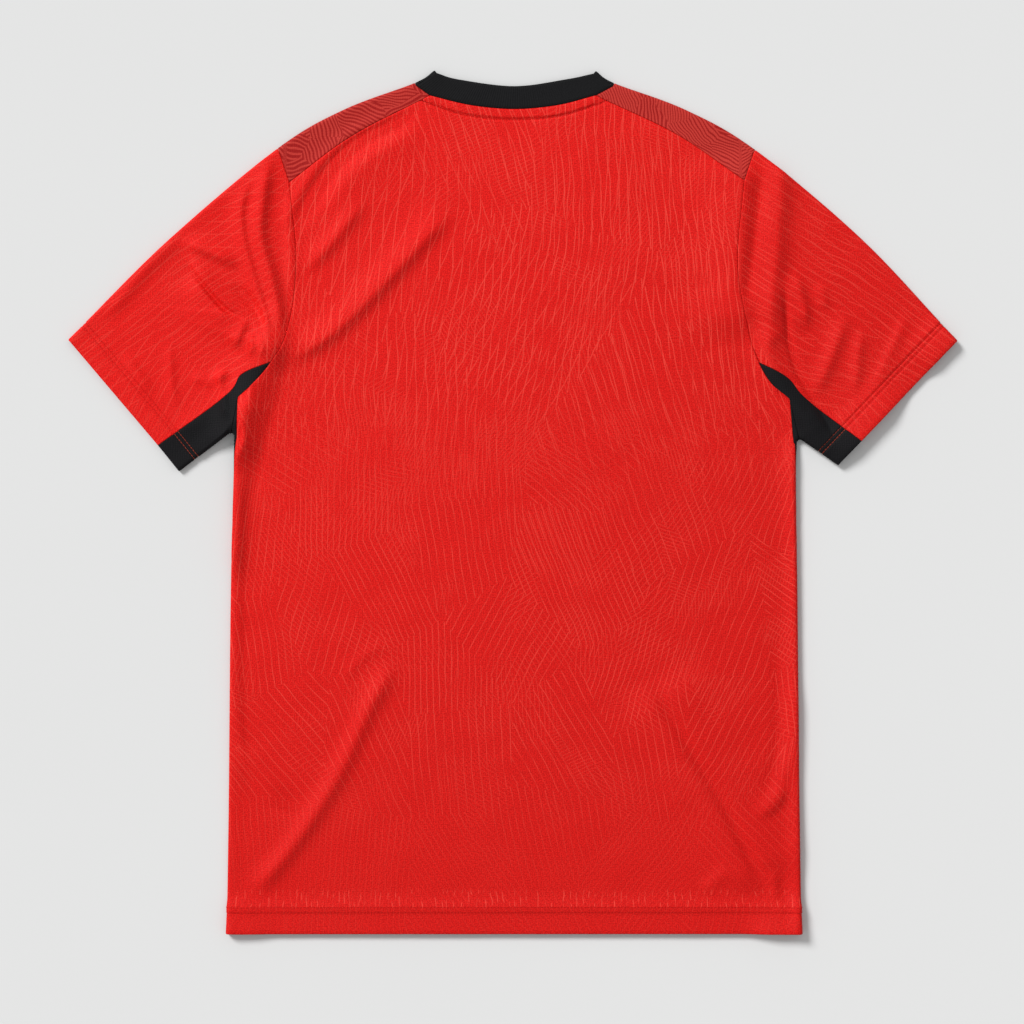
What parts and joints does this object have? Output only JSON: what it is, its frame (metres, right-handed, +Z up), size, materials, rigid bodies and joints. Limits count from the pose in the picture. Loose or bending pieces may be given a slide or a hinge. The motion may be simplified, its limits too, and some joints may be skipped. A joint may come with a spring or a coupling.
{
  "type": "football jersey",
  "caption": "Short-sleeved knitted football jersey lying flat on its front, back up, with saddle shoulders, rib collar and dark underarm inserts and side panels",
  "frame": {"origin": "centre of the bounding box in X and Y, on the surface the jersey lies on", "axes": "+X to the right as the back is seen, towards the wearer's right sleeve; +Y towards the collar; +Z up from the surface, out of the back"},
  "size_m": [0.8, 0.7765, 0.0102],
  "materials": {
    "red_knit": "fine polyester piqué knit, soft sheen, faint tonal lines",
    "dark_red_knit": "dark red polyester knit with lighter tonal lines",
    "black_knit": "black fine polyester knit",
    "black_rib": "black rib knit"
  },
  "bodies": {
    "root": {"back": "red_knit", "front": "red_knit", "sleeve_left": "red_knit", "sleeve_right": "red_knit", "shoulder_left": "dark_red_knit", "shoulder_right": "dark_red_knit", "underarm_left": "black_knit", "underarm_right": "black_knit", "side_left": "black_knit", "side_right": "black_knit", "collar": "black_rib"}
  },
  "joints": []
}
